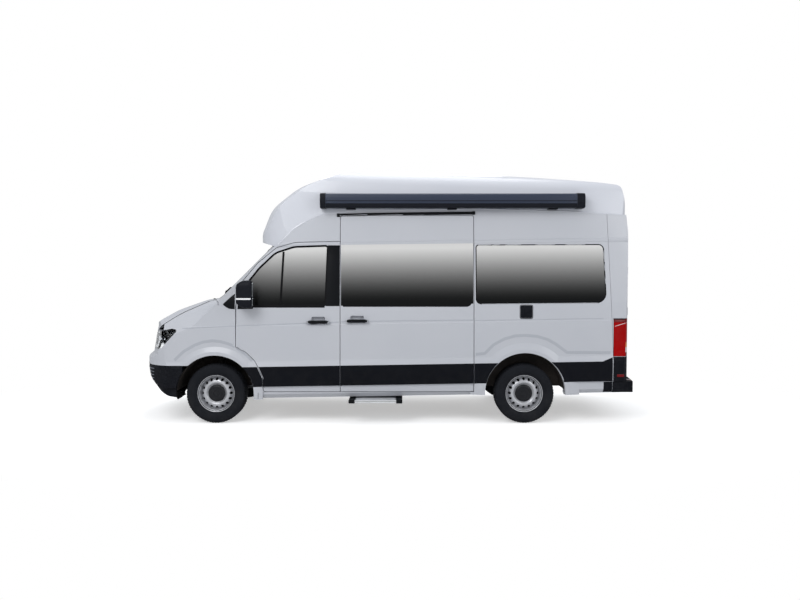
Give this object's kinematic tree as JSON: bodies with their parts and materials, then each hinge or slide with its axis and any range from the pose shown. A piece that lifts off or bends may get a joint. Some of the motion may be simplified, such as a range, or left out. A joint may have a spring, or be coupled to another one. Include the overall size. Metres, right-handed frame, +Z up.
{
  "type": "camper van",
  "caption": "High-roof camper van with sliding side door, side awning, entrance step, steel wheels, opening doors and bonnet, and a furnished hollow body.",
  "frame": {"origin": "On the ground, under the middle of the van's length and width.", "axes": "The van faces -X and its left side, with the sliding door, faces -Y. +X runs to the rear, +Z is up."},
  "size_m": [5.986, 2.426, 2.9894],
  "materials": {
    "body_paint": "satin light grey-white paint",
    "roof_gelcoat": "glass-fibre moulding in body colour",
    "dark_plastic": "grained dark plastic",
    "anthracite": "anthracite coated aluminium",
    "side_glass": "dark tinted glass",
    "screen_glass": "laminated glass",
    "lamp_lens": "clear lamp cover",
    "tail_lens": "red lamp cover",
    "chassis_steel": "black chassis paint",
    "bare_metal": "bare cast and machined metal",
    "wheel_silver": "silver wheel paint",
    "tyre": "black rubber",
    "engine_block": "dark cast block and cover",
    "floor_board": "wood-look floor",
    "furniture_board": "light laminated board",
    "seat_cloth": "dark grey woven cloth",
    "mattress_cloth": "light quilted cloth",
    "step_aluminium": "ribbed aluminium"
  },
  "bodies": {
    "chassis": {"side_left": "body_paint", "side_right": "body_paint", "rear_frame": "body_paint", "screen_frame": "body_paint", "front_wings": "body_paint", "nose_panel": "body_paint", "sliding_door": "body_paint", "roof": "roof_gelcoat", "front_bumper": "dark_plastic", "rear_bumper": "dark_plastic", "grille": "dark_plastic", "headlamps": "lamp_lens", "tail_lamps": "tail_lens", "windscreen": "screen_glass", "side_windows": "side_glass", "awning": "anthracite", "chassis_frame": "chassis_steel", "floor_pan": "floor_board", "wheel_housings": "dark_plastic", "engine": "engine_block", "radiator": "engine_block", "front_suspension": "chassis_steel", "rear_axle": "chassis_steel", "exhaust": "bare_metal", "tanks": "dark_plastic", "step_frame": "chassis_steel", "dashboard": "dark_plastic", "cab_seats": "seat_cloth", "kitchen_block": "furniture_board", "bench_seat": "seat_cloth", "wardrobe": "furniture_board", "bed_base": "furniture_board", "mattress": "mattress_cloth"},
    "bonnet": {"bonnet": "body_paint"},
    "cab_door_left": {"cab_door_left": "body_paint", "cab_glass_left": "screen_glass", "mirror_left": "dark_plastic"},
    "cab_door_right": {"cab_door_right": "body_paint", "cab_glass_right": "screen_glass", "mirror_right": "dark_plastic"},
    "rear_door_left": {"rear_door_left": "body_paint", "rear_glass_left": "side_glass"},
    "rear_door_right": {"rear_door_right": "body_paint", "rear_glass_right": "side_glass"},
    "knuckle_left": {"knuckle_left": "bare_metal"},
    "knuckle_right": {"knuckle_right": "bare_metal"},
    "wheel_front_left": {"wheel_front_left": "wheel_silver", "tyre_front_left": "tyre"},
    "wheel_front_right": {"wheel_front_right": "wheel_silver", "tyre_front_right": "tyre"},
    "wheel_rear_left": {"wheel_rear_left": "wheel_silver", "tyre_rear_left": "tyre"},
    "wheel_rear_right": {"wheel_rear_right": "wheel_silver", "tyre_rear_right": "tyre"},
    "entrance_step": {"step_tread": "step_aluminium"},
    "service_flap": {"service_flap": "dark_plastic"}
  },
  "joints": [
    {"name": "steer_left", "type": "hinge", "parent": "chassis", "child": "knuckle_left", "pos_m": [-1.999, -0.71, 0.35], "axis": [0, 0, 1], "range_deg": [-35, 35]},
    {"name": "steer_right", "type": "hinge", "parent": "chassis", "child": "knuckle_right", "pos_m": [-1.999, 0.71, 0.35], "axis": [0, 0, 1], "range_deg": [-35, 35]},
    {"name": "bonnet_hinge", "type": "hinge", "parent": "chassis", "child": "bonnet", "pos_m": [-2.009, 0, 1.452], "axis": [0, 1, 0], "range_deg": [0, 50]},
    {"name": "cab_door_left_hinge", "type": "hinge", "parent": "chassis", "child": "cab_door_left", "pos_m": [-1.7565, -1.02, 1], "axis": [0, 0, -1], "range_deg": [0, 70]},
    {"name": "cab_door_right_hinge", "type": "hinge", "parent": "chassis", "child": "cab_door_right", "pos_m": [-1.7565, 1.02, 1], "axis": [0, 0, 1], "range_deg": [0, 70]},
    {"name": "rear_door_left_hinge", "type": "hinge", "parent": "chassis", "child": "rear_door_left", "pos_m": [2.879, -0.889, 1.2], "axis": [0, 0, -1], "range_deg": [0, 180]},
    {"name": "rear_door_right_hinge", "type": "hinge", "parent": "chassis", "child": "rear_door_right", "pos_m": [2.879, 0.889, 1.2], "axis": [0, 0, 1], "range_deg": [0, 180]},
    {"name": "step_slide", "type": "slide", "parent": "chassis", "child": "entrance_step", "axis": [0, 1, 0], "range_m": [0, 0.22]},
    {"name": "flap_hinge", "type": "hinge", "parent": "chassis", "child": "service_flap", "pos_m": [1.655, -0.987, 1.3935], "axis": [-1, 0, 0], "range_deg": [0, 90]},
    {"name": "wheel_front_left_spin", "type": "hinge", "parent": "knuckle_left", "child": "wheel_front_left", "pos_m": [-1.999, -0.865, 0.35], "axis": [0, 1, 0], "continuous": true},
    {"name": "wheel_front_right_spin", "type": "hinge", "parent": "knuckle_right", "child": "wheel_front_right", "pos_m": [-1.999, 0.865, 0.35], "axis": [0, 1, 0], "continuous": true},
    {"name": "wheel_rear_left_spin", "type": "hinge", "parent": "chassis", "child": "wheel_rear_left", "pos_m": [1.641, -0.865, 0.35], "axis": [0, 1, 0], "continuous": true},
    {"name": "wheel_rear_right_spin", "type": "hinge", "parent": "chassis", "child": "wheel_rear_right", "pos_m": [1.641, 0.865, 0.35], "axis": [0, 1, 0], "continuous": true}
  ],
  "couplings": [
    {"joint": "steer_right", "follows": "steer_left", "ratio": 1}
  ]
}
